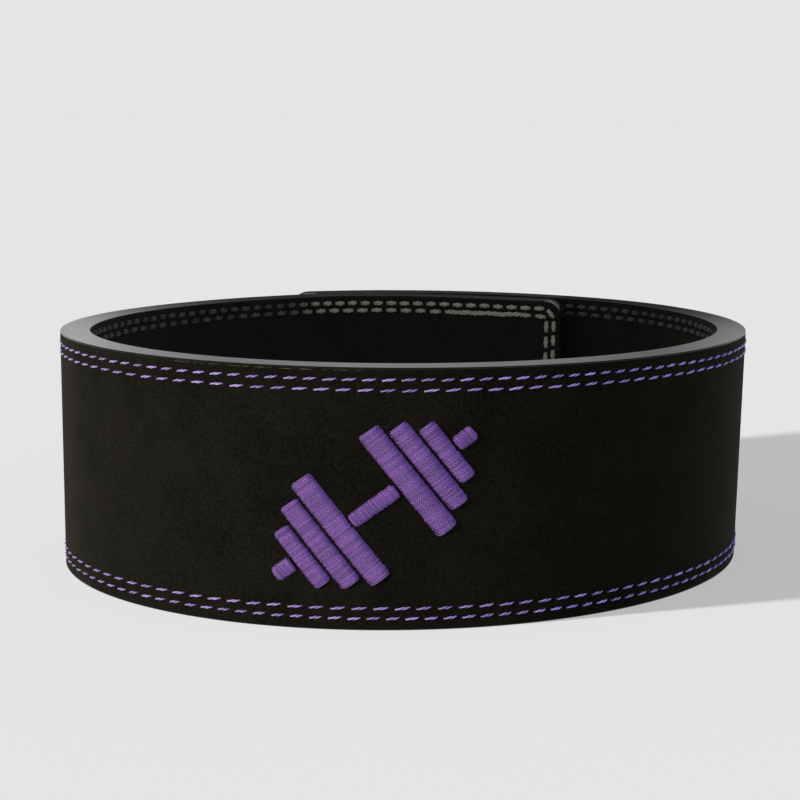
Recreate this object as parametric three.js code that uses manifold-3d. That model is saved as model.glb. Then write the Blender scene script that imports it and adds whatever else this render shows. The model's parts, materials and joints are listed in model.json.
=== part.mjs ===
// A suede-faced leather weightlifting belt that stands on its edge as a closed loop.
// Millimetres, +Z up, with the embroidered front towards -Y and the fastened lap at the back.

import * as THREE from 'three';
import { mergeVertices } from 'three/addons/utils/BufferGeometryUtils.js';
import Module from 'manifold-3d';

const wasm = await Module();
wasm.setup();

// Strap section
const strapHeight = 100;
const coreThickness = 10;
const facingThickness = 1;
const clearance = 0.3;
const rimDepth = 1.3;
const rimRadius = 1;
const cornerRadius = 9;

// Loop, measured on the line midway through the strap: half sizes, and its unevenness as shares of them
const loopHalfWidth = 143.6;
const loopHalfDepth = 138.3;
const leanAngle = 6.7;
const shoulderShare = -0.007;
const eggShare = -0.02;
const squashShare = -0.014;

// How much further out the loop stands at its top than at its foot
const flare = 1;

// Lap at the back, with angles counted anticlockwise from +X: the inner end lies inside the outer end
const outerEndAngle = 114;
const lapAngle = 60.5;
const rampAngle = 84;
const lapGap = 0.4;

// The stiff double stretch is flatter than the loop: how much, round which angle and how far to both sides
const flatDepth = 3.3;
const flatAngle = 75;
const flatSpan = 42;

// The free inner end springs off the outer arm: the gap at its tip, the gap's rise behind it, and where it has closed
const springTip = 4;
const springRise = 36;
const springSpan = 60;

// Embroidered barbell on the front
const emblemAngle = 266;
const emblemHeight = 48;
const emblemTilt = 38;
const strokeEdge = 0.5;
const strokeCrown = 1.3;
const strokeRound = 1.4;
const strokeGap = 0.8;
const barLength = 20;
const barWidth = 6;
const sleeveLength = 8;
const sleeveWidth = 6.4;
const plateLength = 48;
const plateWidth = 9;

// The plates outwards from the bar, as shares of the largest plate's length and width
const plates = [
  { name: 'large', lengthShare: 1, widthShare: 1 },
  { name: 'middle', lengthShare: 19 / 24, widthShare: 8 / 9 },
  { name: 'small', lengthShare: 13 / 24, widthShare: 7 / 9 },
];

// Plain clasp plate on the outer end, with a lip that turns down past the end
const claspLength = 72;
const claspHeight = 60;
const claspThickness = 3;
const claspCorner = 7;
const claspEdge = 0.8;
const lipReach = 6;
const lipThickness = 4;

// Fineness of the faceted solids
const columnPitch = 10.5;
const strokePitch = 4.5;
const cornerSteps = 5;

const facingStep = facingThickness + clearance;
const strapThickness = coreThickness + 2 * facingStep;
const lapStep = strapThickness + lapGap;

const colours = {
  rim: 0x8a8f90,
  outerSuede: 0x1c1b18,
  innerSuede: 0x151512,
  thread: 0x71509a,
  steel: 0x2a2b2d,
};

// How far the strap's line lies inside the plain loop: by one lap step on the inner arm, which then eases out to the
// left, and by the lap's flatness and the inner end's spring.
function inwardAt(angle) {
  const ramp = THREE.MathUtils.smoothstep(angle, outerEndAngle, outerEndAngle + rampAngle);
  const fromFlat = Math.abs(((angle - flatAngle + 180) % 360) - 180);
  const flatness = (1 + Math.cos(Math.PI * Math.min(fromFlat / flatSpan, 1))) / 2;
  const fromTip = THREE.MathUtils.clamp((angle - outerEndAngle + lapAngle) / springSpan, 0, 1);
  const spring = (1 - fromTip) ** 2 * (springTip * (1 + 2 * fromTip) + springRise * fromTip);
  return lapStep * (1 - ramp) + flatDepth * flatness + spring;
}

// The line midway through the strap, from the outer end clockwise round the front to the inner end.
class BeltLine extends THREE.Curve {
  getPoint(share, target = new THREE.Vector3()) {
    const turn = THREE.MathUtils.degToRad(outerEndAngle + 360 - share * (lapAngle + 360));
    const lean = THREE.MathUtils.degToRad(leanAngle);
    const x = loopHalfWidth * (Math.cos(turn) + shoulderShare * Math.cos(3 * turn));
    const y = loopHalfDepth
      * (Math.sin(turn + lean) + eggShare * Math.cos(2 * turn) + squashShare * Math.sin(3 * turn));
    const slopeX = -loopHalfWidth * (Math.sin(turn) + 3 * shoulderShare * Math.sin(3 * turn));
    const slopeY = loopHalfDepth
      * (Math.cos(turn + lean) - 2 * eggShare * Math.sin(2 * turn) + 3 * squashShare * Math.cos(3 * turn));
    const outward = new THREE.Vector2(slopeY, -slopeX).normalize();
    const inward = inwardAt(THREE.MathUtils.radToDeg(turn));
    return target.set(x - outward.x * inward, y - outward.y * inward, 0);
  }
}

const beltLine = new BeltLine();
beltLine.arcLengthDivisions = 2400;
const strapLength = beltLine.getLength();

// The length of strap between the outer end and an angle of the loop.
function alongAt(angle) {
  const share = (outerEndAngle + 360 - angle) / (lapAngle + 360);
  const lengths = beltLine.getLengths();
  return lengths[Math.round(share * (lengths.length - 1))];
}

// A point beside the strap's middle line: along it, outwards from it and up. Past an end it runs on straight.
// The flare leans the whole strap outwards about its middle height.
function onBelt(along, outward, up) {
  const inside = THREE.MathUtils.clamp(along, 0, strapLength);
  const share = inside / strapLength;
  const tangent = beltLine.getTangentAt(share);
  const side = new THREE.Vector3(0, 0, 1).cross(tangent);
  return beltLine.getPointAt(share)
    .addScaledVector(tangent, along - inside)
    .addScaledVector(side, outward + flare * (up / strapHeight - 0.5))
    .setZ(up);
}

// How far a round corner draws an outline in, at a distance from the end.
function drawIn(fromEnd, radius) {
  const run = Math.max(radius - fromEnd, 0);
  return radius - Math.sqrt(radius * radius - run * run);
}

// Distances along a piece: close together round its end corners, and evenly between them.
function stations(start, end, radius, pitch) {
  const round = [];
  for (let i = 0; i < cornerSteps; i += 1) {
    round.push(radius * (1 - Math.cos((i / cornerSteps) * (Math.PI / 2))));
  }
  const straight = end - start - 2 * radius;
  const steps = Math.ceil(straight / pitch);
  const list = round.map((distance) => start + distance);
  for (let i = 0; i <= steps; i += 1) {
    list.push(start + radius + (straight * i) / steps);
  }
  return list.concat(round.reverse().map((distance) => end - distance));
}

// A flat section carried through the stations, each point of it put in place by a function.
function sweep(section, list, place, arcSteps = 1) {
  const steps = list.length - 1;
  const geometry = new THREE.ExtrudeGeometry(section, {
    depth: steps, steps, bevelEnabled: false, curveSegments: arcSteps,
  });
  const position = geometry.attributes.position;
  for (let i = 0; i < position.count; i += 1) {
    const station = list[Math.round(position.getZ(i))];
    const point = place(station, position.getX(i), position.getY(i));
    position.setXYZ(i, point.x, point.y, point.z);
  }
  geometry.deleteAttribute('normal');
  geometry.deleteAttribute('uv');
  return mergeVertices(geometry);
}

function rectangle(left, right, bottom, top, radius = 0) {
  const shape = new THREE.Shape();
  if (radius === 0) {
    return shape.moveTo(left, bottom).lineTo(right, bottom).lineTo(right, top).lineTo(left, top);
  }
  return shape
    .absarc(right - radius, bottom + radius, radius, -Math.PI / 2, 0)
    .absarc(right - radius, top - radius, radius, 0, Math.PI / 2)
    .absarc(left + radius, top - radius, radius, Math.PI / 2, Math.PI)
    .absarc(left + radius, bottom + radius, radius, Math.PI, (3 * Math.PI) / 2);
}

// A layer of the strap, a stated inset inside its outline, with its end corners and edges rounded to suit.
function strapLayer(inner, outer, inset, edgeRadius = 0) {
  const section = rectangle(inner, outer, inset, strapHeight - inset, edgeRadius);
  const start = inset;
  const end = strapLength - inset;
  const corner = cornerRadius - inset;
  return sweep(section, stations(start, end, corner, columnPitch), (along, outward, up) => {
    const fromEnd = Math.min(along - start, end - along);
    const drop = Math.sign(up - strapHeight / 2) * drawIn(fromEnd, corner);
    const pinch = Math.sign(outward) * drawIn(fromEnd, edgeRadius);
    return onBelt(along, outward - pinch, up - drop);
  });
}

function toSolid(geometry) {
  return new wasm.Manifold(new wasm.Mesh({
    numProp: 3,
    vertProperties: geometry.attributes.position.array,
    triVerts: Uint32Array.from(geometry.index.array),
  }));
}

function toGeometry(solid) {
  const mesh = solid.getMesh();
  const geometry = new THREE.BufferGeometry();
  geometry.setAttribute('position', new THREE.BufferAttribute(mesh.vertProperties, 3));
  geometry.setIndex(new THREE.BufferAttribute(mesh.triVerts, 1));
  return geometry;
}

// The stiff leather strap. Its rims stand over the facings' cut edges, as the painted edge does.
function leatherCore() {
  const half = strapThickness / 2;
  const web = coreThickness / 2;
  const past = half + facingStep;
  const outerRecess = toSolid(strapLayer(web, past, rimDepth));
  const innerRecess = toSolid(strapLayer(-past, -web, rimDepth));
  const strap = toSolid(strapLayer(-half, half, 0, rimRadius));
  return toGeometry(strap.subtract(outerRecess).subtract(innerRecess));
}

function outerFacing() {
  const half = strapThickness / 2;
  return strapLayer(half - facingThickness, half, rimDepth + clearance);
}

function innerFacing() {
  const half = strapThickness / 2;
  return strapLayer(-half, facingThickness - half, rimDepth + clearance);
}

// One padded satin stroke of the barbell. It lies on the barbell's axis, or across it as a plate does.
function emblemStroke({ at, length, width, across }) {
  const section = new THREE.Shape()
    .moveTo(-width / 2, 0)
    .lineTo(width / 2, 0)
    .lineTo(width / 2, strokeEdge)
    .absellipse(0, strokeEdge, width / 2, strokeCrown - strokeEdge, 0, Math.PI);
  const tilt = THREE.MathUtils.degToRad(emblemTilt);
  const centre = alongAt(emblemAngle);
  const seat = strapThickness / 2 + clearance;
  return sweep(section, stations(0, length, strokeRound, strokePitch), (run, side, height) => {
    const fromEnd = Math.min(run, length - run);
    const narrow = 1 - drawIn(fromEnd, strokeRound) / (width / 2);
    const axial = across ? at - side * narrow : at + run - length / 2;
    const lateral = across ? run - length / 2 : side * narrow;
    const right = axial * Math.cos(tilt) - lateral * Math.sin(tilt);
    const up = axial * Math.sin(tilt) + lateral * Math.cos(tilt);
    return onBelt(centre - right, seat + height, emblemHeight + up);
  }, 2);
}

// The barbell's strokes: a bar, the plates outwards from it on both sides, and a sleeve end past them.
function emblemStrokes() {
  const strokes = [{ name: 'emblem_bar', at: 0, length: barLength, width: barWidth, across: false }];
  for (const [end, sign] of [['lower', -1], ['upper', 1]]) {
    let reach = barLength / 2;
    for (const plate of plates) {
      const length = plateLength * plate.lengthShare;
      const width = plateWidth * plate.widthShare;
      const at = sign * (reach + strokeGap + width / 2);
      strokes.push({ name: `emblem_plate_${plate.name}_${end}`, at, length, width, across: true });
      reach += strokeGap + width;
    }
    const at = sign * (reach + strokeGap + sleeveLength / 2);
    strokes.push({ name: `emblem_sleeve_${end}`, at, length: sleeveLength, width: sleeveWidth, across: false });
  }
  return strokes;
}

// The plain clasp: a plate that follows the outer end, and a lip that turns down to the strap below it.
function claspPlate() {
  const inner = strapThickness / 2 + clearance;
  const outer = inner + claspThickness;
  const bottom = (strapHeight - claspHeight) / 2;
  const top = bottom + claspHeight;
  const start = -lipReach - lipThickness;
  const plateSection = rectangle(inner, outer, bottom, top, claspEdge);
  const plateStations = stations(start, claspLength, claspCorner, columnPitch);
  const plate = sweep(plateSection, plateStations, (along, outward, up) => {
    const drop = drawIn(Math.min(along - start, claspLength - along), claspCorner);
    return onBelt(along, outward, up - Math.sign(up - strapHeight / 2) * drop);
  });
  const lipSection = rectangle(inner - lapStep, outer - claspEdge, bottom + claspCorner, top - claspCorner);
  const lip = sweep(lipSection, [start, -lipReach], onBelt);
  return toGeometry(toSolid(plate).add(toSolid(lip)));
}

function piece(name, geometry, color, roughness, metalness = 0) {
  geometry.computeVertexNormals();
  const mesh = new THREE.Mesh(geometry, new THREE.MeshStandardMaterial({ color, roughness, metalness }));
  mesh.name = name;
  return mesh;
}

const belt = new THREE.Group();
belt.add(piece('leather_core', leatherCore(), colours.rim, 0.45));
belt.add(piece('outer_facing', outerFacing(), colours.outerSuede, 0.95));
belt.add(piece('inner_facing', innerFacing(), colours.innerSuede, 0.95));
for (const stroke of emblemStrokes()) {
  belt.add(piece(stroke.name, emblemStroke(stroke), colours.thread, 0.6));
}
belt.add(piece('clasp_plate', claspPlate(), colours.steel, 0.4, 0.9));

// The origin is the middle of the belt's box, on the surface that it stands on.
const box = new THREE.Box3().setFromObject(belt);
const middle = box.getCenter(new THREE.Vector3());
belt.position.set(-middle.x, -middle.y, -box.min.z);

export default belt;
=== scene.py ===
# %% [markdown]
# A suede-faced leather weightlifting belt, standing on its edge as a closed loop. The frame holds its
# solids at their real size. This lesson dresses them: the painted edge, the suede, the stitching, the
# embroidered barbell and the plain clasp at the back. The strap is really cut flat, faced and stitched
# flat, and bent afterwards, so most pieces are made that way here: each is modelled flat in
# millimetres, and one function then bends it round the loop.

# %% Load the frame
import json
import math
import random

import bmesh
import bpy
import numpy as np
from mathutils import Matrix, Vector

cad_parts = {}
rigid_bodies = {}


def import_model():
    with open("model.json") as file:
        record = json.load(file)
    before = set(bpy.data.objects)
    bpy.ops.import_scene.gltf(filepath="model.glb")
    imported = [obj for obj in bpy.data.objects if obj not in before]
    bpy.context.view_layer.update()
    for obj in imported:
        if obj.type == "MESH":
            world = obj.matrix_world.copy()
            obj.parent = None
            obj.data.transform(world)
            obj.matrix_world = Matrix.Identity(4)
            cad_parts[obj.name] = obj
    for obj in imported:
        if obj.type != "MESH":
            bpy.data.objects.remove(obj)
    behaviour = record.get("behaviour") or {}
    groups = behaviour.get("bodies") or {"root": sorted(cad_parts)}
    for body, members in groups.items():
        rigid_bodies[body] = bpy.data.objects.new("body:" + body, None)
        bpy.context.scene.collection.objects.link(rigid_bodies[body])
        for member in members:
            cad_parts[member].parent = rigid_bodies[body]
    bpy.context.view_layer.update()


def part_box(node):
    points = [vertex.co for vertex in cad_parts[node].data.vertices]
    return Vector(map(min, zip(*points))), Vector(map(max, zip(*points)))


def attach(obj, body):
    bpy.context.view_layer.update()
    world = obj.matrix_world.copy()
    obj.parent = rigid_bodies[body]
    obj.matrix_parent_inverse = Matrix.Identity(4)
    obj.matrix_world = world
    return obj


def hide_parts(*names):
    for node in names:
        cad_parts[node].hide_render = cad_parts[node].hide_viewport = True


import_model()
CORE_LOW, CORE_HIGH = (np.array(corner) * 1000 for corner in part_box("leather_core"))
HEIGHT = CORE_HIGH[2] - CORE_LOW[2]
print("strap height in mm:", round(HEIGHT, 2))

# %% [markdown]
# The strap's section: 10 mm of leather with 1.3 mm of suede and glue on both sides. Its loop isn't a
# plain circle. A stiff belt that is closed by hand leans and flattens a little, so its middle line is
# an ellipse with small uneven shares. The inner arm steps inwards by one thickness where the ends lap,
# the double stretch is flatter than the rest, the free inner end springs off the outer arm, and the
# loop is wider at its top.

# %% The loop's sizes
MM = 0.001
CORE = 10.0
SKIN = 1.3
THICKNESS = CORE + 2 * SKIN
HALF = THICKNESS / 2
LAP_STEP = THICKNESS + 0.4
CORNER = 9.0
HALF_WIDTH, HALF_DEPTH = 143.6, 138.3
SHOULDER, EGG, SQUASH = -0.007, -0.02, -0.014
LEAN, OUTER_END, LAP, RAMP = (math.radians(angle) for angle in (6.7, 114, 60.5, 84))
FLAT_DEPTH, FLAT_ANGLE, FLAT_SPAN = 3.3, math.radians(75), math.radians(42)
SPRING_TIP, SPRING_RISE, SPRING_SPAN = 4.0, 36.0, math.radians(60)
FLARE = 1.0


# %% The middle line
def inward_at(turn):
    """How far the strap lies inside the plain loop: the lap's step and flatness, and the end's spring."""
    ramp = np.clip((turn - OUTER_END) / RAMP, 0, 1)
    from_flat = np.abs((turn - FLAT_ANGLE + math.pi) % math.tau - math.pi)
    flatness = (1 + np.cos(math.pi * np.minimum(from_flat / FLAT_SPAN, 1))) / 2
    from_tip = np.clip((turn - OUTER_END + LAP) / SPRING_SPAN, 0, 1)
    spring = (1 - from_tip) ** 2 * (SPRING_TIP * (1 + 2 * from_tip) + SPRING_RISE * from_tip)
    return LAP_STEP * (1 - ramp * ramp * (3 - 2 * ramp)) + FLAT_DEPTH * flatness + spring


def middle_line(share):
    """The line midway through the strap, from the outer end (0) clockwise to the inner end (1)."""
    turn = OUTER_END + math.tau - share * (LAP + math.tau)
    x = HALF_WIDTH * (np.cos(turn) + SHOULDER * np.cos(3 * turn))
    y = HALF_DEPTH * (np.sin(turn + LEAN) + EGG * np.cos(2 * turn) + SQUASH * np.sin(3 * turn))
    slope_x = -HALF_WIDTH * (np.sin(turn) + 3 * SHOULDER * np.sin(3 * turn))
    slope_y = HALF_DEPTH * (np.cos(turn + LEAN) - 2 * EGG * np.sin(2 * turn)
                            + 3 * SQUASH * np.cos(3 * turn))
    steepness = np.hypot(slope_x, slope_y)
    inward = inward_at(turn)
    return np.stack([x - inward * slope_y / steepness, y + inward * slope_x / steepness], axis=1)


SHARES = np.linspace(0, 1, 8001)
LINE = middle_line(SHARES)
RUN = np.concatenate([[0], np.cumsum(np.linalg.norm(np.diff(LINE, axis=0), axis=1))])
LENGTH = RUN[-1]
TANGENT = np.gradient(LINE, RUN, axis=0)
TANGENT /= np.linalg.norm(TANGENT, axis=1, keepdims=True)
OUTWARD = np.stack([-TANGENT[:, 1], TANGENT[:, 0]], axis=1)
OUTER_FACE = LINE + HALF * OUTWARD
LOOP_CENTRE = (OUTER_FACE.min(axis=0) + OUTER_FACE.max(axis=0)) / 2
LINE += (CORE_LOW[:2] + CORE_HIGH[:2]) / 2 - LOOP_CENTRE
print("strap length in mm:", round(LENGTH, 1))


# %% Bend flat pieces round the loop
def along_at(angle):
    """The length of strap between the outer end and an angle of the loop, in degrees."""
    share = (OUTER_END + math.tau - math.radians(angle)) / (LAP + math.tau)
    return np.interp(share, SHARES, RUN)


def bend(flat):
    """Flat points (along, outward, up) in mm become points of the standing loop in metres."""
    along, outward, up = flat.T
    outward = outward + FLARE * (up / HEIGHT - 0.5)
    on_strap = np.clip(along, 0, LENGTH)
    columns = []
    for axis in range(2):
        point = np.interp(on_strap, RUN, LINE[:, axis])
        past_end = (along - on_strap) * np.interp(on_strap, RUN, TANGENT[:, axis])
        columns.append(point + past_end + outward * np.interp(on_strap, RUN, OUTWARD[:, axis]))
    return np.stack([*columns, up], axis=1) * MM


def inset_of(flat):
    """How far each flat point lies inside the strap's outline, whose corners are round."""
    reach = np.abs(flat[:, [0, 2]] - [LENGTH / 2, HEIGHT / 2]) - [LENGTH / 2 - CORNER, HEIGHT / 2 - CORNER]
    outside = np.hypot(*np.maximum(reach, 0).T)
    return CORNER - outside - np.minimum(reach.max(axis=1), 0)


# %% Turn a flat bmesh into a piece of the belt
LEVEL = 0.9999


def belt_piece(name, bm, material, slot, *nodes):
    """Bends a flat mesh, keeps its flat place for the materials, and puts it in the frame.

    Level faces stay flat-shaded, so that the rim mirrors as one level face between its rounded edges."""
    mesh = bpy.data.meshes.new(name)
    bm.to_mesh(mesh)
    bm.free()
    flat = np.empty(len(mesh.vertices) * 3)
    mesh.vertices.foreach_get("co", flat)
    flat = flat.reshape(-1, 3)
    mesh.attributes.new("flat", "FLOAT_VECTOR", "POINT").data.foreach_set("vector", flat.ravel())
    mesh.attributes.new("inset", "FLOAT", "POINT").data.foreach_set("value", inset_of(flat))
    mesh.vertices.foreach_set("co", bend(flat).ravel())
    mesh.materials.append(material)
    mesh.shade_smooth()
    for face in mesh.polygons:
        face.use_smooth = abs(face.normal.z) < LEVEL
    piece = bpy.data.objects.new(name, mesh)
    bpy.context.scene.collection.objects.link(piece)
    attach(piece, "root")
    if nodes:
        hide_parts(*nodes)
    print(name, len(mesh.vertices), "vertices")


# %% [markdown]
# Materials come next. Each is one Principled shader with a few procedural nodes. Colours are written as
# sRGB hex values, as a colour picker shows them, and turned linear by one function. One small function
# adds any node, sets its values and makes its links.

# %% Colour and node helpers
def linear(code):
    """An sRGB hex colour as linear red, green, blue and alpha."""
    parts = [int(code[i:i + 2], 16) / 255 for i in (1, 3, 5)]
    return tuple(c / 12.92 if c <= 0.04045 else ((c + 0.055) / 1.055) ** 2.4 for c in parts) + (1.0,)


def add(tree, kind, settings=(), **inputs):
    """Adds a node. Settings are its own fields; inputs are values, or sockets or nodes that feed them."""
    node = tree.nodes.new(kind)
    for field, value in dict(settings).items():
        setattr(node, field, value)
    for key, value in inputs.items():
        socket = node.inputs[int(key[1:]) if key[1:].isdigit() else key.replace("_", " ")]
        if isinstance(value, bpy.types.Node):
            value = value.outputs[0]
        if isinstance(value, bpy.types.NodeSocket):
            tree.links.new(value, socket)
        else:
            socket.default_value = value
    return node


def new_material(name, **inputs):
    """A material with its Principled shader set, its node tree and that shader."""
    material = bpy.data.materials.new(name)
    material.use_nodes = True
    tree = material.node_tree
    shader = tree.nodes["Principled BSDF"]
    for key, value in inputs.items():
        shader.inputs[key.replace("_", " ")].default_value = value
    return material, tree, shader


def ramp(tree, factor, *stops):
    """A colour ramp through (place, colour) stops."""
    node = add(tree, "ShaderNodeValToRGB", Fac=factor)
    elements = node.color_ramp.elements
    while len(elements) < len(stops):
        elements.new(0.5)
    for element, (place, colour) in zip(elements, stops):
        element.position = place
        element.color = colour
    return node.outputs["Color"]


def grey(value):
    return (value, value, value, 1.0)


def per_metre(size_mm):
    """The scale that makes a pattern on metre coordinates repeat at a size in mm."""
    return 1000 / size_mm


# %% [markdown]
# Black suede is split leather, dyed through and buffed to a short nap. The nap gives it no gloss, a
# soft light edge where it is seen at a slant, and a faint unevenness where hands brushed it. Beside the
# painted rim its cut edge shows as a hairline of raw tan fibre, on the stretch in front that is gripped
# most.

# %% Suede
HAIRLINE = (1.0, 1.25)
BRUSHED_MM, NAP_MM, FRAYED_MM = 26, 1.1, 5
NAP_SHARE = 0.7
NAP_DEPTH = 0.0003
GRIPPED = (along_at(268), along_at(228))


def suede(name, dark, light, fibre):
    """Matt nap between two tones, with a hairline of raw fibre along the gripped stretch's upper edge."""
    material, tree, shader = new_material(
        name, Roughness=0.95, Specular_IOR_Level=0.02,
        Sheen_Weight=0.1, Sheen_Roughness=0.4, Sheen_Tint=linear("#c4bda6"))
    place = add(tree, "ShaderNodeTexCoord").outputs["Object"]
    brushed = add(tree, "ShaderNodeTexNoise",
                  Vector=place, Scale=per_metre(BRUSHED_MM), Detail=5.0, Roughness=0.6)
    nap = add(tree, "ShaderNodeTexNoise", Vector=place, Scale=per_metre(NAP_MM), Detail=4.0, Roughness=0.7)
    tone = add(tree, "ShaderNodeMix", i0=NAP_SHARE, i2=brushed.outputs["Fac"], i3=nap.outputs["Fac"])
    base = ramp(tree, tone, (0.38, dark), (0.62, light))
    inset = add(tree, "ShaderNodeAttribute", {"attribute_name": "inset"}).outputs["Fac"]
    across = add(tree, "ShaderNodeMapRange", Value=inset, From_Min=HAIRLINE[0], From_Max=HAIRLINE[1])
    hairline = ramp(tree, across, (0.0, grey(0)), (0.5, grey(1)), (1.0, grey(0)))
    flat = add(tree, "ShaderNodeAttribute", {"attribute_name": "flat"}).outputs["Vector"]
    places = add(tree, "ShaderNodeSeparateXYZ", Vector=flat)
    along = add(tree, "ShaderNodeMapRange",
                Value=places.outputs["X"], From_Min=GRIPPED[0], From_Max=GRIPPED[1])
    gripped = ramp(tree, along, (0.0, grey(0)), (0.2, grey(1)), (0.8, grey(1)), (1.0, grey(0)))
    upper = add(tree, "ShaderNodeMath", {"operation": "GREATER_THAN"},
                i0=places.outputs["Z"], i1=HEIGHT / 2)
    frayed = add(tree, "ShaderNodeTexNoise",
                 Vector=place, Scale=per_metre(FRAYED_MM), Detail=4.0, Roughness=0.75)
    raw = ramp(tree, frayed, (0.45, grey(0)), (0.62, grey(1)))
    for mask in (hairline, gripped, upper):
        raw = add(tree, "ShaderNodeMath", {"operation": "MULTIPLY"}, i0=raw, i1=mask)
    colour = add(tree, "ShaderNodeMix", {"data_type": "RGBA"}, i0=raw, i6=base, i7=fibre)
    tree.links.new(colour.outputs[2], shader.inputs["Base Color"])
    bump = add(tree, "ShaderNodeBump", Strength=0.5, Distance=NAP_DEPTH, Height=nap.outputs["Fac"])
    tree.links.new(bump.outputs["Normal"], shader.inputs["Normal"])
    return material


OUTER_SUEDE = suede("black_suede", linear("#070705"), linear("#151410"), linear("#6b6248"))
# The inside copy is given a lighter tone than the outside: painted light, standing in for the warm lamp,
# which lights only the outside.
INNER_SUEDE = suede("black_suede_inside_lit_copy", linear("#131311"), linear("#1f1e1b"), linear("#211f1a"))

# %% [markdown]
# The edge is dyed, coated with several layers of black edge paint and burnished. The paint is smooth,
# so at a slant it mirrors the pale room and looks light grey, though it is nearly black.

# %% Edge paint
STREAK_MM = (22, 0.9, 0.9)
PAINT_GRAIN_MM = 2.5


def edge_paint():
    """Near-black smooth paint, rubbed in streaks along the strap."""
    material, tree, shader = new_material("burnished_edge_paint", Roughness=0.2, IOR=1.5)
    place = add(tree, "ShaderNodeTexCoord").outputs["Object"]
    flat = add(tree, "ShaderNodeAttribute", {"attribute_name": "flat"}).outputs["Vector"]
    streaks = add(tree, "ShaderNodeMapping", Vector=flat, Scale=tuple(1 / size for size in STREAK_MM))
    rubbed = add(tree, "ShaderNodeTexNoise", Vector=streaks, Scale=1.0, Detail=3.0, Roughness=0.6)
    base = ramp(tree, rubbed, (0.3, linear("#0d0d0e")), (0.75, linear("#161718")))
    tree.links.new(base, shader.inputs["Base Color"])
    rough = add(tree, "ShaderNodeMapRange", Value=rubbed, To_Min=0.12, To_Max=0.2)
    tree.links.new(rough.outputs["Result"], shader.inputs["Roughness"])
    grain = add(tree, "ShaderNodeTexNoise", Vector=place, Scale=per_metre(PAINT_GRAIN_MM), Detail=3.0)
    bump = add(tree, "ShaderNodeBump", Strength=0.04, Distance=0.0003, Height=grain.outputs["Fac"])
    tree.links.new(bump.outputs["Normal"], shader.inputs["Normal"])
    return material


EDGE_PAINT = edge_paint()

# %% [markdown]
# Two threads are used. The needle thread and the embroidery are lilac and purple rayon, which shines
# along its length. The bobbin thread on the inside is plain off-white polyester. Both are twisted from
# plies, and the plies show as slanted stripes: a bump, with a painted highlight on each ply and painted
# shade between them. So each stitch carries how far along it and how far round it a point lies. A second
# value says how near the thread's end that is, and the colour is darkened there: painted shade where the
# thread dives into its hole.

# %% Thread
WAVE_UNIT = 0.1
PLY_MM = 2.7


def thread(name, dark, light, ply_mm, ply_shade, end_shade, gloss, scatter=0.0):
    """Twisted thread between two tones, with painted highlight and shade on its plies and painted shade at
    its ends. Scatter shifts the plies of threads that lie side by side.
    """
    material, tree, shader = new_material(
        name, Roughness=gloss, Specular_IOR_Level=0.35, Sheen_Weight=0.15, Sheen_Roughness=0.4)
    twist = add(tree, "ShaderNodeAttribute", {"attribute_name": "twist"}).outputs["Vector"]
    tone = add(tree, "ShaderNodeAttribute", {"attribute_name": "tone"}).outputs["Fac"]
    ends = add(tree, "ShaderNodeSeparateXYZ", Vector=twist).outputs["Z"]
    turned = add(tree, "ShaderNodeMapping", Vector=twist, Scale=(math.tau / ply_mm, 2 * math.tau, 0.0))
    shifted = add(tree, "ShaderNodeVectorMath", {"operation": "MULTIPLY_ADD"},
                  i0=tone, i1=(scatter, 0.0, 0.0), i2=turned)
    plies = add(tree, "ShaderNodeTexWave", {"wave_type": "BANDS", "bands_direction": "DIAGONAL"},
                Vector=shifted, Scale=WAVE_UNIT, Distortion=0.4, Detail=1.0)
    # Painted highlight and shade: the ply stripes lighten and darken the colour, beside the bump below.
    striped = add(tree, "ShaderNodeMath", {"operation": "MULTIPLY_ADD"},
                  i0=plies.outputs["Fac"], i1=ply_shade, i2=tone)
    # Painted shade: the colour darkens towards the thread's ends, where it dives into its hole.
    shaded = add(tree, "ShaderNodeMath", {"operation": "MULTIPLY_ADD"}, i0=ends, i1=-end_shade, i2=striped)
    base = ramp(tree, shaded, (0.0, dark), (1.0, light))
    tree.links.new(base, shader.inputs["Base Color"])
    bump = add(tree, "ShaderNodeBump", Strength=0.7, Distance=0.0002, Height=plies.outputs["Fac"])
    tree.links.new(bump.outputs["Normal"], shader.inputs["Normal"])
    return material


NEEDLE_THREAD = thread("lilac_rayon_thread", linear("#2e1c4a"), linear("#a78ed0"),
                       ply_mm=PLY_MM, ply_shade=0.5, end_shade=0.5, gloss=0.4)
BOBBIN_THREAD = thread("off_white_polyester_thread", linear("#1d1d1b"), linear("#a5a299"),
                       ply_mm=PLY_MM, ply_shade=0.1, end_shade=0.1, gloss=0.6)
SATIN_THREAD = thread("purple_rayon_thread", linear("#371d50"), linear("#744997"),
                      ply_mm=0.9, ply_shade=0.25, end_shade=0.0, gloss=0.4, scatter=40.0)

# %% [markdown]
# The clasp is hidden in use, so it is one plain pressed steel plate with a powder coat. Powder coat is
# a matt black skin with a fine orange peel.

# %% Powder coat
PEEL_MM = 0.9


def powder_coat():
    """A matt dark grey coat with a fine orange peel."""
    material, tree, shader = new_material(
        "black_powder_coat", Base_Color=linear("#202123"), Roughness=0.42, Metallic=0.0)
    place = add(tree, "ShaderNodeTexCoord").outputs["Object"]
    peel = add(tree, "ShaderNodeTexNoise", Vector=place, Scale=per_metre(PEEL_MM), Detail=2.0)
    bump = add(tree, "ShaderNodeBump", Strength=0.25, Distance=0.0002, Height=peel.outputs["Fac"])
    tree.links.new(bump.outputs["Normal"], shader.inputs["Normal"])
    return material


POWDER_COAT = powder_coat()

# %% [markdown]
# The strap is cut flat from a block: its four corners are rounded, then its edges. A flat strap can't
# bend between its corners, so it is sliced across its length every few millimetres.

# %% Flat slabs
CORNER_SEGMENTS = 8


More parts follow.
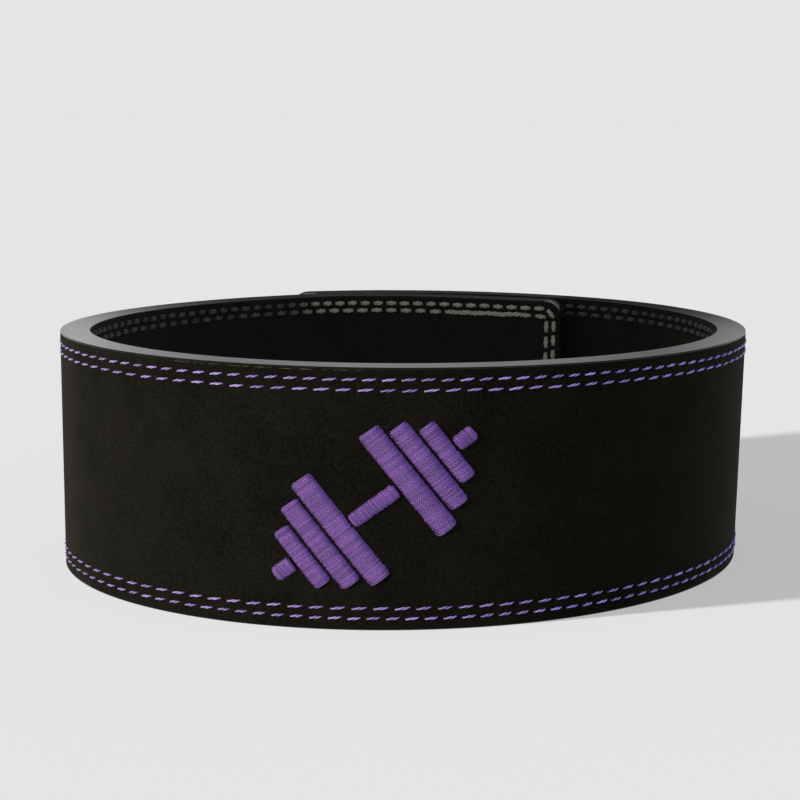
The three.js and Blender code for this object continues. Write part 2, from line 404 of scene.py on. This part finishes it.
def box_bmesh(low, high):
    """A block between two corners."""
    bm = bmesh.new()
    bmesh.ops.create_cube(bm, size=1)
    low, high = Vector(low), Vector(high)
    size = high - low
    bmesh.ops.transform(bm, matrix=Matrix.Diagonal((*size, 1)), verts=bm.verts)
    bmesh.ops.translate(bm, vec=(low + high) / 2, verts=bm.verts)
    return bm


def big_faces(bm):
    """The slab's inner and outer faces."""
    return sorted(bm.faces, key=lambda face: -face.calc_area())[:2]


def flat_slab(low, high, corner, edge, segments=3):
    """A block with four corners rounded as seen from outside, and then its two outlines."""
    bm = box_bmesh(low, high)
    across = [e for e in bm.edges if abs((e.verts[0].co - e.verts[1].co).normalized().y) > 0.9]
    bmesh.ops.bevel(bm, geom=across, offset=corner, segments=CORNER_SEGMENTS,
                    profile=0.5, affect="EDGES", material=-1)
    outlines = list({e for face in big_faces(bm) for e in face.edges})
    bmesh.ops.bevel(bm, geom=outlines, offset=edge, segments=segments,
                    profile=0.5, affect="EDGES", material=-1)
    return bm


def slice_across(bm, places, axis):
    """Cuts the whole mesh through at each place along an axis, so that it can bend there."""
    normal = Vector((axis == "x", axis == "y", axis == "z"))
    for place in places:
        geometry = bm.verts[:] + bm.edges[:] + bm.faces[:]
        bmesh.ops.bisect_plane(bm, geom=geometry, plane_co=normal * place, plane_no=normal)


def every(pitch, start, end):
    """Evenly spaced places strictly between two ends, about a pitch apart."""
    return np.linspace(start, end, max(2, round((end - start) / pitch) + 1))[1:-1]


# %% [markdown]
# The leather core is stiff: 10 mm of vegetable-tanned leather with painted rims. The rims cover the
# suede's cut edges, so the core's two faces are sunk by one skin inside a narrow lip.

# %% Leather core
RIM_DEPTH = 0.55
RIM_ROUND = 0.4
LIP_WALL = 0.02
CORE_SLICE = 4
core = flat_slab((0, -HALF, 0), (LENGTH, HALF, HEIGHT), CORNER, RIM_ROUND, 4)
for face in big_faces(core):
    bmesh.ops.inset_region(core, faces=[face], thickness=RIM_DEPTH - RIM_ROUND, use_even_offset=True)
    bmesh.ops.inset_region(core, faces=[face], thickness=LIP_WALL, depth=-SKIN, use_even_offset=True)
slice_across(core, every(CORE_SLICE, 0, LENGTH), "x")
belt_piece("painted_core", core, EDGE_PAINT, "painted_edge_leather", "leather_core")


# %% [markdown]
# The suede skins are glued on and sewn through. Thread pulls the skin down, so a shallow groove runs
# under each row. Both rows follow the strap's outline at their own inset, round its ends too.

# %% Suede skins
OUTER_ROWS = (4.6, 8.5)
INNER_ROWS = (3.8, 7.5)
GROOVE_DEPTH = 0.28
GROOVE_WIDTH = 0.75
SKIN_GAP = 0.06
SKIN_ROUND = 0.35
SLICE_UP, SLICE_ALONG = 8, 3.5
PAST_ROWS_UP, PAST_ROWS_ALONG = 14, 11


def suede_skin(name, side, rows, material, slot, node):
    """One facing, outside (side 1) or inside (side -1), with grooves under its rows of stitches."""
    inset = RIM_DEPTH + SKIN_GAP
    faces = sorted((side * (HALF - SKIN), side * HALF))
    low = (inset, faces[0], inset)
    high = (LENGTH - inset, faces[1], HEIGHT - inset)
    bm = flat_slab(low, high, CORNER - inset, SKIN_ROUND)
    for row in rows:
        beside = [row + step * GROOVE_WIDTH for step in (-2, -1, 0, 1, 2)]
        slice_across(bm, beside + [HEIGHT - place for place in beside], "z")
        slice_across(bm, beside + [LENGTH - place for place in beside], "x")
    slice_across(bm, every(SLICE_UP, PAST_ROWS_UP, HEIGHT - PAST_ROWS_UP), "z")
    slice_across(bm, every(SLICE_ALONG, PAST_ROWS_ALONG, LENGTH - PAST_ROWS_ALONG), "x")
    insets = inset_of(np.array([v.co[:] for v in bm.verts]))
    for vert, depth in zip(bm.verts, insets):
        if vert.co.y * side > HALF - 0.1:
            sunk = sum(math.exp(-((depth - row) / GROOVE_WIDTH) ** 2) for row in rows)
            vert.co.y -= side * GROOVE_DEPTH * sunk
    belt_piece(name, bm, material, slot, node)


suede_skin("outer_suede_skin", 1, OUTER_ROWS, OUTER_SUEDE, "outer_suede", "outer_facing")
suede_skin("inner_suede_skin", -1, INNER_ROWS, INNER_SUEDE, "inner_suede", "inner_facing")


# %% [markdown]
# A stitch is a short length of twisted thread that dives into the strap at both ends. Its form is made
# once: a thin cylinder, sliced, thinned towards its ends, given two lobes along its plies and pulled down
# at its ends. Copies of it are then laid along the rows. There are over a thousand, so the form has only
# a few dozen faces, and the plies' stripes are left to the material.

# %% One stitch
def thread_form(length, radius, sides, slices, thin, rise, lobe=0.0):
    """A thread along x, centred, arched outwards (+y), thinner at its ends and two-lobed."""
    bm = bmesh.new()
    bmesh.ops.create_cone(bm, cap_ends=True, segments=sides, radius1=radius, radius2=radius, depth=length,
                          matrix=Matrix.Rotation(math.pi / 2, 4, "Y"))
    slice_across(bm, every(length / slices, -length / 2, length / 2), "x")
    twist = bm.verts.layers.float_vector.new("twist")
    bm.verts.layers.float.new("tone")
    for vert in bm.verts:
        share = min(abs(2 * vert.co.x / length), 1)
        angle = math.atan2(vert.co.z, vert.co.y)
        vert[twist] = (vert.co.x, angle / math.tau, share ** 3)
        lobes = lobe * math.cos(2 * angle + math.tau * vert.co.x / PLY_MM)
        taper = 1 - (1 - thin) * share ** 2.4 - lobes
        vert.co.y = vert.co.y * taper + rise(share)
        vert.co.z *= taper
    return bm


def lay_copies(form, places):
    """Copies a form to each place, given as a matrix and a tone, and joins the copies."""
    joined = bmesh.new()
    source = bpy.data.meshes.new("form")
    form.to_mesh(source)
    form.free()
    joined.from_mesh(source)
    bpy.data.meshes.remove(source)
    pattern = joined.verts[:] + joined.edges[:] + joined.faces[:]
    tone = joined.verts.layers.float["tone"]
    for matrix, shade in places:
        copy = bmesh.ops.duplicate(joined, geom=pattern)["geom"]
        verts = [part for part in copy if isinstance(part, bmesh.types.BMVert)]
        bmesh.ops.transform(joined, matrix=matrix, verts=verts)
        for vert in verts:
            vert[tone] = shade
    first = [part for part in pattern if isinstance(part, bmesh.types.BMVert)]
    bmesh.ops.delete(joined, geom=first, context="VERTS")
    return joined


# %% Rows of stitches
ROW_PITCHES = (7.05, 7.85)
NEEDLE_RADIUS, NEEDLE_THIN, NEEDLE_SHARE = 0.44, 0.45, 0.88
BOBBIN_RADIUS, BOBBIN_THIN, BOBBIN_SHARE = 1.1, 0.7, 0.74
STITCH_SLANT = math.radians(6)
PLY_LOBE = 0.22
FORM_LENGTH = 6.0
FORM_SIDES, FORM_SLICES = 7, 9
chance = random.Random(7)


def outline_path(inset):
    """Points (along, up) round the strap at an inset, with round corners, and the distance to each."""
    radius = max(CORNER - inset, 1.5)
    points = []
    corners = ((LENGTH, HEIGHT, 0), (0, HEIGHT, 90), (0, 0, 180), (LENGTH, 0, 270))
    for x, z, start in corners:
        centre = (x + (inset + radius) * (1 if x == 0 else -1),
                  z + (inset + radius) * (1 if z == 0 else -1))
        for step in range(7):
            angle = math.radians(start + 15 * step)
            points.append((centre[0] + radius * math.cos(angle), centre[1] + radius * math.sin(angle)))
    points.append(points[0])
    points = np.array(points)
    return points, np.concatenate([[0], np.cumsum(np.linalg.norm(np.diff(points, axis=0), axis=1))])


def stitch_place(centre, heading, length, side):
    """Turns a stitch to its heading on the outer face, and over to the inner face where side is -1."""
    turned = Matrix.Rotation(-heading, 4, "Y")
    over = Matrix.Rotation(0 if side > 0 else math.pi, 4, "X")
    sunk = Vector((centre[0], side * (HALF - GROOVE_DEPTH), centre[1]))
    return Matrix.Translation(sunk) @ turned @ over @ Matrix.Diagonal((length / FORM_LENGTH, 1, 1, 1))


def row_places(inset, pitch, side, tone_at):
    """Where each stitch of one closed row lies, with small differences from stitch to stitch."""
    points, distance = outline_path(inset)
    count = round(distance[-1] / pitch)
    spacing = distance[-1] / count
    slant, share_of_pitch = (STITCH_SLANT, NEEDLE_SHARE) if side > 0 else (0.0, BOBBIN_SHARE)
    for i in range(count):
        ends = [(i + share) * spacing % distance[-1] for share in (0.12, 0.88)]
        (x0, z0), (x1, z1) = ([np.interp(d, distance, points[:, axis]) for axis in range(2)] for d in ends)
        heading = math.atan2(z1 - z0, x1 - x0) - slant + math.radians(chance.uniform(-2, 2))
        centre = ((x0 + x1) / 2, (z0 + z1) / 2 + chance.uniform(-0.12, 0.12))
        length = pitch * share_of_pitch * chance.uniform(0.95, 1.04)
        yield stitch_place(centre, heading, length, side), tone_at(centre[0])


def stitch_rise(share):
    """A stitch's middle line, from its middle (0) to its end (1): level, then pulled into the skin."""
    return 0.35 - 0.85 * share ** 3


def stitch_rows(name, side, rows, radius, thin, material, tone_at, extra=()):
    """All rows on one side of the strap, as one piece."""
    places = list(extra)
    for inset, pitch in zip(rows, ROW_PITCHES):
        places.extend(row_places(inset, pitch, side, tone_at))
    form = thread_form(FORM_LENGTH, radius, FORM_SIDES, FORM_SLICES, thin, stitch_rise, PLY_LOBE)
    print(name, len(places), "stitches")
    belt_piece(name, lay_copies(form, places), material, "purple_thread")


def needle_tone(along):
    """The needle thread is as bright everywhere, with a little chance."""
    return chance.uniform(0.0, 0.35)


stitch_rows("outer_stitch_rows", 1, OUTER_ROWS, NEEDLE_RADIUS, NEEDLE_THIN, NEEDLE_THREAD, needle_tone)

# %% [markdown]
# Where a row starts and ends, the machine sews back over itself. On the inside this shows as a stretch
# without gaps. The off-white bobbin thread is painted dark along most of the strap, as painted shade, and
# lighter on the last stretch before the lap's inner end, as painted light.

# %% Inner rows and their over-stitched stretch
TACK_START, TACK_END, TACK_PITCH = 23.0, 57.0, 3.6
LIT_END, LIT_FADE = 135.0, 4


def bobbin_painted_light(along):
    """Painted shade along most of the strap, and painted light on the last stretch before the inner end."""
    # Painted light: the stretch before the inner end is lighter; elsewhere the tone stays dark as painted
    # shade.
    lit_share = 1 / (1 + math.exp((LENGTH - along - LIT_END) / LIT_FADE))
    return chance.uniform(0.0, 0.07) + 0.55 * lit_share


tack = [
    (stitch_place((LENGTH - place, HEIGHT - INNER_ROWS[1] + chance.uniform(-0.3, 0.3)),
                  chance.uniform(-0.06, 0.06), FORM_LENGTH, -1), bobbin_painted_light(LENGTH))
    for place in np.arange(TACK_START, TACK_END, TACK_PITCH)
]
stitch_rows("inner_stitch_rows", -1, INNER_ROWS, BOBBIN_RADIUS, BOBBIN_THIN,
            BOBBIN_THREAD, bobbin_painted_light, tack)

# %% [markdown]
# The barbell is raised satin embroidery: each stroke is a foam pad with thread wound closely over it
# from side to side. So each stroke is a low pad and a row of threads across it. Every thread follows
# the pad's crown down into the suede. The threads get shorter where the stroke's ends are round, and
# their ends are a little uneven, as machine work is.

# %% Barbell sizes
EMBLEM_ALONG = along_at(266)
EMBLEM_UP = 48.0
EMBLEM_TILT = math.radians(38)
STROKE_CROWN = 1.55
STROKE_ROUND = 1.4
STROKE_GAP = 0.8
BAR_LENGTH, BAR_WIDTH = 20.0, 6.0
SLEEVE_LENGTH, SLEEVE_WIDTH = 8.0, 6.4
PLATES = (("large", 48.0, 9.0), ("middle", 38.0, 8.0), ("small", 26.0, 7.0))
SATIN_PITCH = 0.4
SATIN_RADIUS, SATIN_THIN = 0.25, 0.7
SATIN_SIDES, SATIN_SLICES = 5, 10
PAD_SHORTER, PAD_NARROWER = 0.3, 0.4
PAD_SUNK, PAD_BELOW_CROWN = 0.2, 0.55
PAD_ROUND = 0.7


# %% One padded satin stroke
def stroke_frame(axial, across):
    """The matrix from a stroke's own run, outward and side axes to the flat strap."""
    heading = EMBLEM_TILT + (math.pi / 2 if across else 0)
    centre_right = axial * math.cos(EMBLEM_TILT)
    centre_up = axial * math.sin(EMBLEM_TILT)
    run = Vector((-math.cos(heading), 0, math.sin(heading)))
    side = Vector((-math.sin(heading), 0, -math.cos(heading)))
    turned = Matrix((run, Vector((0, 1, 0)), side)).transposed().to_4x4()
    return Matrix.Translation((EMBLEM_ALONG - centre_right, HALF, EMBLEM_UP + centre_up)) @ turned


def satin_rise(share):
    """The height of a thread over the pad, from the stroke's middle (0) to its side (1)."""
    return STROKE_CROWN * (1 - share ** 2.6) ** 0.55 - SATIN_RADIUS * 1.2


def satin_stroke(name, axial, length, width, across):
    """A pad with its wound threads, as one piece in place of the frame's stroke."""
    frame_of = stroke_frame(axial, across)
    threads = []
    count = round(length / SATIN_PITCH)
    for i in range(count):
        run = (i + 0.5) / count * length
        from_end = min(run, length - run)
        short = STROKE_ROUND - math.sqrt(STROKE_ROUND ** 2 - max(STROKE_ROUND - from_end, 0) ** 2)
        reach = width + chance.uniform(-0.12, 0.3) - 2 * short
        low = 1 - 0.35 * (short / STROKE_ROUND)
        place = Matrix.Translation((run - length / 2, 0, chance.uniform(-0.12, 0.12)))
        slant = Matrix.Rotation(math.pi / 2 + math.radians(chance.uniform(-1.5, 1.5)), 4, "Y")
        stretch = Matrix.Diagonal((reach / width, low * chance.uniform(0.95, 1.04), 1, 1))
        threads.append((frame_of @ place @ slant @ stretch, chance.uniform(0.05, 0.6)))
    form = thread_form(width, SATIN_RADIUS, SATIN_SIDES, SATIN_SLICES, SATIN_THIN, satin_rise)
    bm = lay_copies(form, threads)
    half_run, half_side = length / 2 - PAD_SHORTER, width / 2 - PAD_NARROWER
    pad = flat_slab((-half_run, -PAD_SUNK, -half_side),
                    (half_run, STROKE_CROWN - PAD_BELOW_CROWN, half_side), STROKE_ROUND, PAD_ROUND)
    bmesh.ops.transform(pad, matrix=frame_of, verts=pad.verts)
    mesh = bpy.data.meshes.new("pad")
    pad.to_mesh(mesh)
    pad.free()
    bm.from_mesh(mesh)
    bpy.data.meshes.remove(mesh)
    belt_piece("satin_" + name, bm, SATIN_THREAD, "purple_thread", "emblem_" + name)


# %% The barbell's nine strokes
satin_stroke("bar", 0, BAR_LENGTH, BAR_WIDTH, False)
for end, sign in (("lower", -1), ("upper", 1)):
    reach = BAR_LENGTH / 2 + STROKE_GAP
    for size, length, width in PLATES:
        satin_stroke(f"plate_{size}_{end}", sign * (reach + width / 2), length, width, True)
        reach += width + STROKE_GAP
    satin_stroke("sleeve_" + end, sign * (reach + SLEEVE_LENGTH / 2), SLEEVE_LENGTH, SLEEVE_WIDTH, False)

# %% [markdown]
# The clasp is one pressed plate. Its blank is flat, with round corners, and its lip is bent down past
# the strap's end. The blank is sliced across, and every point past the bend is turned about the bend's
# centre.

# %% Clasp plate
CLASP_TOP, CLASP_BOTTOM = 80.0, 20.0
CLASP_END = 72.0
CLASP_THICKNESS = 3.3
CLASP_CORNER, CLASP_ROUND = 7.0, 0.8
BEND_START, BEND_RADIUS = -5.0, 1.0
LIP_END = HALF - LAP_STEP

bend_run = (BEND_RADIUS + CLASP_THICKNESS / 2) * math.pi / 2
lip_run = HALF - BEND_RADIUS - LIP_END
clasp = flat_slab((BEND_START - bend_run - lip_run, HALF, CLASP_BOTTOM),
                  (CLASP_END, HALF + CLASP_THICKNESS, CLASP_TOP), CLASP_CORNER, CLASP_ROUND, 4)
slice_across(clasp, every(0.5, BEND_START - bend_run, BEND_START), "x")
slice_across(clasp, every(4, BEND_START, CLASP_END), "x")
for vert in clasp.verts:
    past = BEND_START - vert.co.x
    if past > 0:
        turn = min(past / bend_run, 1) * math.pi / 2
        reach = BEND_RADIUS + vert.co.y - HALF
        vert.co.x = BEND_START - reach * math.sin(turn)
        vert.co.y = HALF - BEND_RADIUS + reach * math.cos(turn) - max(past - bend_run, 0)
belt_piece("clasp_pressing", clasp, POWDER_COAT, "dark_steel", "clasp_plate")

# %% [markdown]
# The belt was photographed on a pale light table: the floor glows by itself, so there is hardly any
# shade where the belt touches it, and it has no visible horizon. A low lamp on the left adds a long
# shadow that runs off to the right.

# %% Floor
FLOOR_SIDE = 60
FLOOR_ALBEDO = 0.1
FLOOR_TONE = 0.784
GLOW = 0.44


def plain_grid(name, width, depth, material):
    """A flat rectangle in the ground plane that isn't part of the belt."""
    bm = bmesh.new()
    bmesh.ops.create_grid(bm, x_segments=1, y_segments=1, size=0.5)
    bmesh.ops.scale(bm, vec=(width, depth, 1), verts=bm.verts)
    mesh = bpy.data.meshes.new(name)
    bm.to_mesh(mesh)
    bm.free()
    mesh.materials.append(material)
    grid = bpy.data.objects.new(name, mesh)
    bpy.context.scene.collection.objects.link(grid)
    return grid


GLOWING_FLOOR = new_material("frosted_glass_light_table", Base_Color=grey(FLOOR_ALBEDO), Roughness=1.0,
                             Specular_IOR_Level=0.0, Emission_Color=grey(1.0), Emission_Strength=GLOW)[0]
floor = plain_grid("light_table", FLOOR_SIDE, FLOOR_SIDE, GLOWING_FLOOR)

# %% [markdown]
# The rim's paint mirrors what stands behind the belt. In a studio that is a white card, set so that the
# front and the sides of the rim mirror it and the far side, seen at a lower slant, looks under it and
# stays dark. A second, small card fills in the lapped ends. Both are seen only in reflections. The card
# is brighter on the lamp's side.

# %% Cards behind the belt
def glowing_card(name, low, high, *stops):
    """An upright card between two corners (x, z) at one distance, whose glow changes from left to right."""
    material = bpy.data.materials.new(name)
    material.use_nodes = True
    tree = material.node_tree
    tree.nodes.remove(tree.nodes["Principled BSDF"])
    place = add(tree, "ShaderNodeTexCoord").outputs["Object"]
    sideways = add(tree, "ShaderNodeSeparateXYZ", Vector=place).outputs["X"]
    share = add(tree, "ShaderNodeMapRange", Value=sideways, From_Min=low[0], From_Max=high[0])
    tone = ramp(tree, share, *((at, grey(value)) for at, value in stops))
    glow = add(tree, "ShaderNodeEmission", Color=tone)
    tree.links.new(glow.outputs["Emission"], tree.nodes["Material Output"].inputs["Surface"])
    card = plain_grid(name, high[0] - low[0], high[1] - low[1], material)
    upright = Matrix.Translation(((low[0] + high[0]) / 2, CARD_DISTANCE, (low[1] + high[1]) / 2))
    card.data.transform(upright @ Matrix.Rotation(math.pi / 2, 4, "X"))
    for kind in ("camera", "diffuse", "transmission", "volume_scatter", "shadow"):
        setattr(card, "visible_" + kind, False)


CARD_DISTANCE = 0.2
glowing_card("rim_card", (-0.5, 0.1215), (0.5, 0.19),
             (0.314, 0.88), (0.34, 0.63), (0.39, 0.42), (0.46, 0.5), (0.526, 0.455),
             (0.59, 0.375), (0.635, 0.28), (0.665, 0.43), (0.68, 0.56))
glowing_card("lap_card", (-0.058, 0.1005), (0.082, 0.109), (0.0, 0.045), (1.0, 0.06))

# %% Room light
DARK_BELOW, LIGHT_ABOVE = (math.sin(math.radians(angle)) for angle in (11, 18))
MIRRORED_LOW, MIRRORED_HIGH = 0.015, 0.1
FILL = 0.63
world = bpy.data.worlds.new("pale_room")
bpy.context.scene.world = world
world.use_nodes = True
room = world.node_tree
direction = add(room, "ShaderNodeTexCoord").outputs["Generated"]
height = add(room, "ShaderNodeSeparateXYZ", Vector=direction).outputs["Z"]
above = add(room, "ShaderNodeMapRange", {"interpolation_type": "SMOOTHSTEP"}, Value=height,
            From_Min=DARK_BELOW, From_Max=LIGHT_ABOVE, To_Min=MIRRORED_LOW, To_Max=MIRRORED_HIGH)
mirrored = add(room, "ShaderNodeBackground", Color=above)
fill = add(room, "ShaderNodeBackground", Color=grey(FILL))
paper = add(room, "ShaderNodeBackground", Color=grey(FLOOR_TONE))
ray = add(room, "ShaderNodeLightPath")
lit = add(room, "ShaderNodeMixShader", i0=ray.outputs["Is Glossy Ray"], i1=fill, i2=mirrored)
seen = add(room, "ShaderNodeMixShader", i0=ray.outputs["Is Camera Ray"], i1=lit, i2=paper)
room.links.new(seen.outputs["Shader"], room.nodes["World Output"].inputs["Surface"])

# %% [markdown]
# The low lamp stands close on the left, so the shadow it makes on the floor spreads. Its light there is
# evened out over distance, as flags do in a studio. The outside is lit from the same side by a broad
# warm lamp, and the rayon also by a cool one from the other side, which gives it its violet sheen
# there.

# %% Lamps
def link_to(lamp, receivers):
    """Puts a lamp in the scene and lets it light only its receivers."""
    bpy.context.scene.collection.objects.link(lamp)
    group = bpy.data.collections.new(lamp.name + "_receivers")
    for receiver in receivers:
        group.objects.link(receiver)
    lamp.light_linking.receiver_collection = group


def sun(name, energy, colour, soft, across, height, receivers):
    """A sun that travels towards an azimuth, from a height, both in degrees, and lights its receivers."""
    data = bpy.data.lights.new(name, "SUN")
    data.energy = energy
    data.color = colour
    data.angle = math.radians(soft)
    lamp = bpy.data.objects.new(name, data)
    lamp.matrix_world = (Matrix.Rotation(math.radians(across - 90), 4, "Z")
                         @ Matrix.Rotation(math.radians(90 - height), 4, "X"))
    link_to(lamp, receivers)


FALLOFF = 3.0


def floor_lamp(place, energy, radius):
    """A lamp close to the belt, whose light grows with distance so that the floor is evenly lit."""
    data = bpy.data.lights.new("floor_lamp", "POINT")
    data.energy = energy
    data.shadow_soft_size = radius
    data.use_nodes = True
    far = add(data.node_tree, "ShaderNodeLightPath").outputs["Ray Length"]
    evened = add(data.node_tree, "ShaderNodeMath", {"operation": "POWER"}, i0=far, i1=FALLOFF)
    data.node_tree.links.new(evened.outputs[0], data.node_tree.nodes["Emission"].inputs["Strength"])
    lamp = bpy.data.objects.new("floor_lamp", data)
    lamp.location = place
    link_to(lamp, [floor])


pieces = bpy.context.scene.objects
rayon = [piece for piece in pieces if piece.name.startswith(("outer_stitch", "satin_"))]
outside = rayon + [pieces["outer_suede_skin"], pieces["clasp_pressing"]]
floor_lamp(place=(-1.6, -0.78, 0.477), energy=232.0, radius=0.05)
sun("warm_lamp", energy=5.3, colour=(1.0, 0.93, 0.82), soft=20, across=30, height=15, receivers=outside)
sun("cool_lamp", energy=2.2, colour=(0.45, 0.5, 1.0), soft=40, across=150, height=25, receivers=rayon)
bpy.context.scene.view_settings.view_transform = "Standard"

# %% [markdown]
# The camera stands in front, a little above the strap's upper edge, with a long lens, so that both the
# front and the far inside wall show.

# %% Camera
LENS_MM = 82.6
CAMERA_PLACE = (0.0111, -0.8129, 0.1948)
LEFTWARDS, DOWNWARDS, ROLL = 0.0190, 0.1586, 0.0139
camera_data = bpy.data.cameras.new("camera")
camera_data.sensor_width = 36
camera_data.lens = LENS_MM
camera = bpy.data.objects.new("camera", camera_data)
camera.matrix_world = (Matrix.Translation(CAMERA_PLACE) @ Matrix.Rotation(LEFTWARDS, 4, "Z")
                       @ Matrix.Rotation(math.pi / 2 - DOWNWARDS, 4, "X") @ Matrix.Rotation(ROLL, 4, "Z"))
bpy.context.scene.collection.objects.link(camera)
bpy.context.scene.camera = camera
